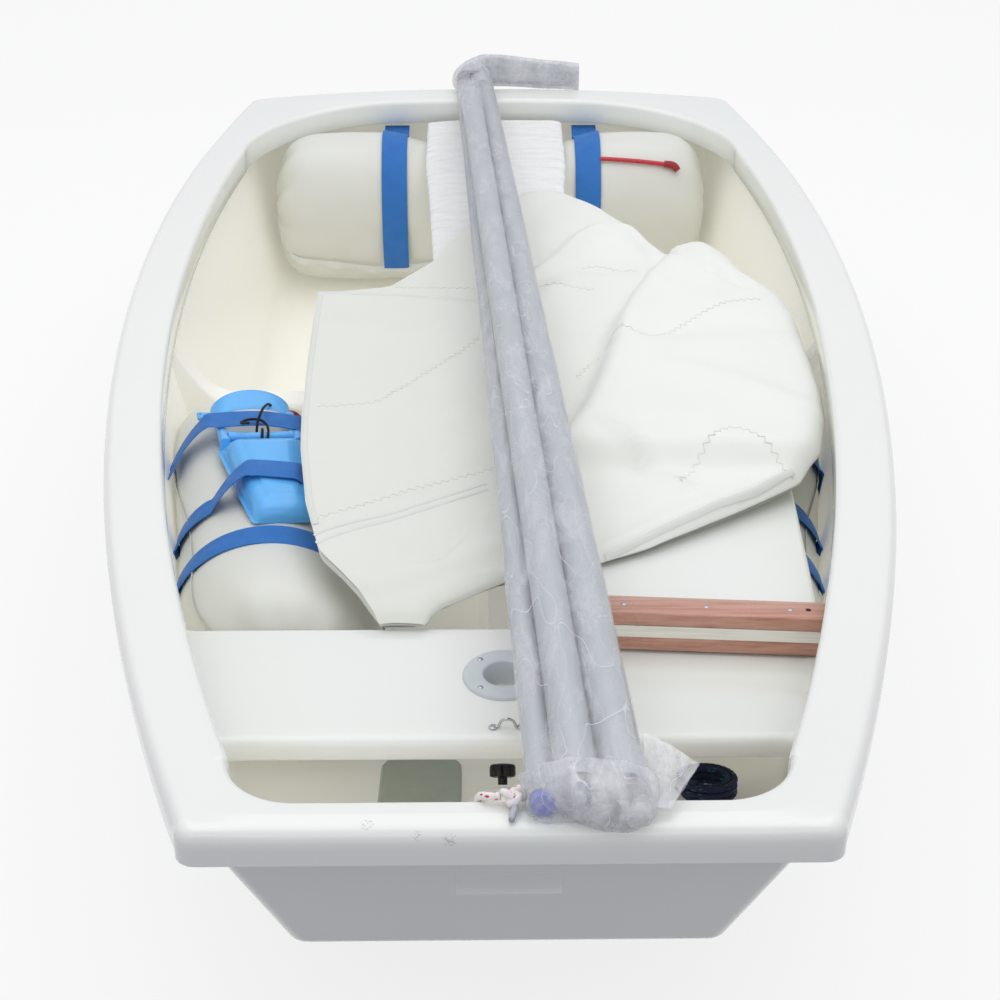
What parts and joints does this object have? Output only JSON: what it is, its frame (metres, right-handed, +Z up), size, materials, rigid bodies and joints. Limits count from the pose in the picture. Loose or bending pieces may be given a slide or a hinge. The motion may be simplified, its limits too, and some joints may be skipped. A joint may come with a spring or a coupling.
{
  "type": "pram sailing dinghy",
  "caption": "Small white moulded pram dinghy with its sail, wrapped spars, daggerboard, air bags and bailer lying loose inside.",
  "frame": {"origin": "middle of the bounding box in plan, on the floor under the hull", "axes": "+Z up, +Y from the bow to the stern, +X to port"},
  "size_m": [1.1664, 2.3656, 0.5235],
  "materials": {
    "gelcoat": "gloss",
    "grey_plastic": "satin",
    "steel": "polished",
    "black_plastic": "satin",
    "bag_film": "satin",
    "red_plastic": "gloss",
    "webbing": "matt",
    "bailer_plastic": "gloss",
    "lanyard": "matt",
    "board_white": "gloss",
    "mahogany": "varnished",
    "sailcloth": "matt",
    "alloy": "anodised",
    "film": "clear film",
    "wrap": "wrinkled film",
    "rope": "matt",
    "pad_foam": "matt",
    "dark_blue_web": "matt"
  },
  "bodies": {
    "root": {"bottom_panel": "gelcoat", "side_starboard": "gelcoat", "side_port": "gelcoat", "transom_bow": "gelcoat", "transom_stern": "gelcoat", "rim": "gelcoat", "mast_thwart": "gelcoat", "mast_collar": "grey_plastic", "collar_screws": "steel", "saddle_eye": "steel", "mast_step": "gelcoat", "step_knob": "black_plastic", "midship_frame": "gelcoat", "board_case": "gelcoat", "rudder_gudgeons": "steel", "bag_starboard": "bag_film", "bag_port": "bag_film", "bag_stern": "bag_film", "inflation_tube": "red_plastic", "straps_starboard": "webbing", "straps_port": "webbing", "straps_stern": "webbing", "strap_anchors": "webbing", "bailer_scoop": "bailer_plastic", "bailer_handle": "bailer_plastic", "bailer_lanyard": "lanyard", "daggerboard": "board_white", "board_battens": "mahogany", "batten_screws": "steel", "sail": "sailcloth", "mast": "alloy", "boom": "alloy", "sprit": "alloy", "spar_sleeve": "film", "sleeve_end_bow": "film", "sleeve_tail_stern": "film", "rudder_package": "wrap", "painter_line": "rope", "painter_knot": "rope", "painter_coil": "rope", "coil_tie": "rope", "bow_pad": "pad_foam", "sheet_coil": "dark_blue_web"}
  },
  "joints": []
}
